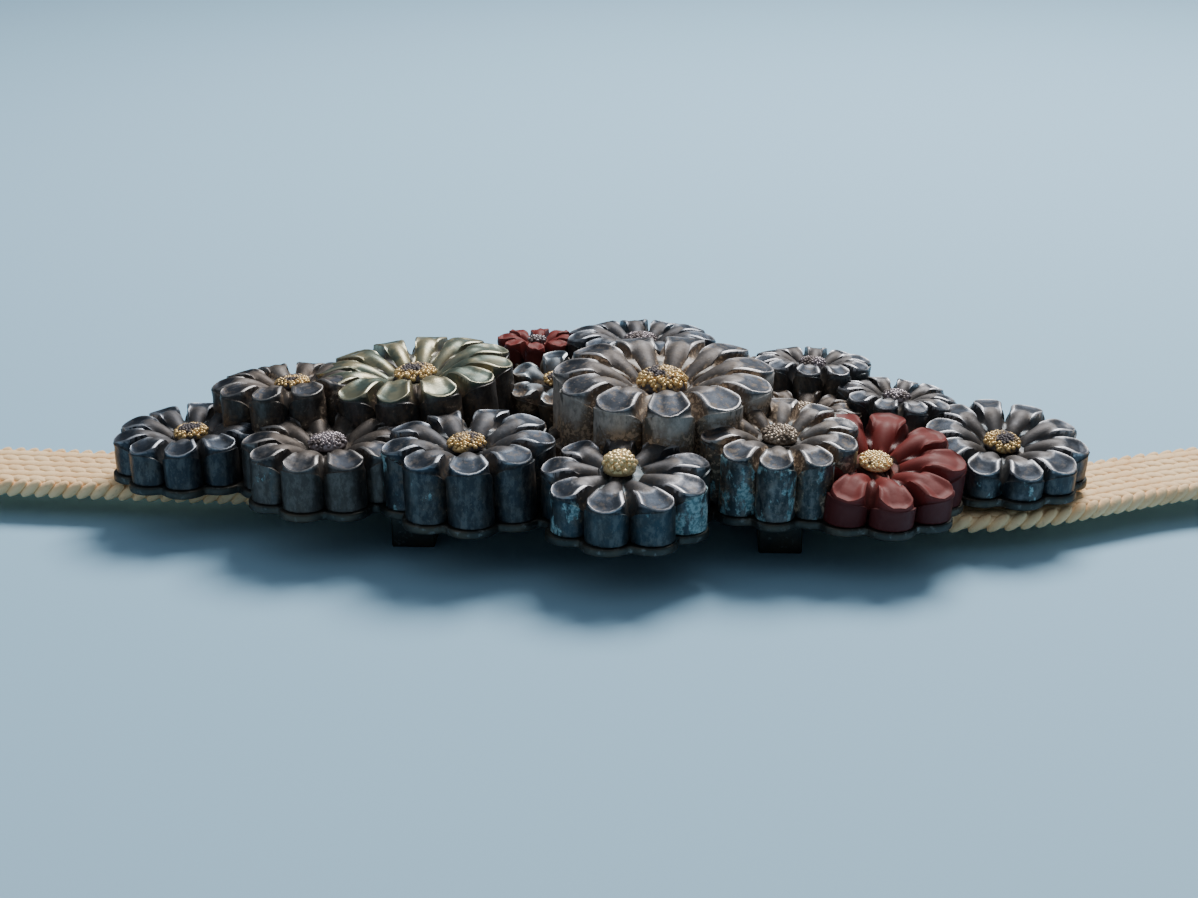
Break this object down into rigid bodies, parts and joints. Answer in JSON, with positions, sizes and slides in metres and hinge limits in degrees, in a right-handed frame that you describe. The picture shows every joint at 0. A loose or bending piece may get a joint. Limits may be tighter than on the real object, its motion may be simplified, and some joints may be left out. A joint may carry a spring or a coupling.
{
  "type": "obidome sash brooch",
  "caption": "Oval brooch of overlapping chrysanthemum heads in high relief on a scalloped plate, with cord bars behind and a flat braided cord through them.",
  "frame": {"origin": "the middle of the brooch's box in plan, on the surface that the cord bars rest on", "axes": "+X along the brooch and its cord, to the right in the picture; +Z out of the flowers; -Y to the front"},
  "size_m": [0.089, 0.0301, 0.01],
  "materials": {
    "oxidised_silver": "cast silver, dark oxidised in the recesses, bright on the worn petal rims",
    "plate_silver": "dull grey-green tarnished silver sheet",
    "granulated_gold": "granulated, warm gold, dirty between the grains",
    "silk_cord": "cream braided silk"
  },
  "bodies": {
    "root": {"flower_cluster": "oxidised_silver", "back_plate": "plate_silver", "sash_cord": "silk_cord", "stamen_left_end": "granulated_gold", "stamen_left_front": "granulated_gold", "stamen_left_back": "granulated_gold", "stamen_green": "granulated_gold", "stamen_front_left": "granulated_gold", "stamen_small": "granulated_gold", "stamen_back_red": "granulated_gold", "stamen_centre": "granulated_gold", "stamen_front": "granulated_gold", "stamen_back": "granulated_gold", "stamen_front_right": "granulated_gold", "stamen_back_right": "granulated_gold", "stamen_behind_red": "granulated_gold", "stamen_red": "granulated_gold", "stamen_right_end": "granulated_gold", "stamen_back_low": "granulated_gold", "stamen_middle_left": "granulated_gold", "stamen_middle_front": "granulated_gold", "stamen_middle_right": "granulated_gold", "stamen_middle_end": "granulated_gold"}
  },
  "joints": []
}
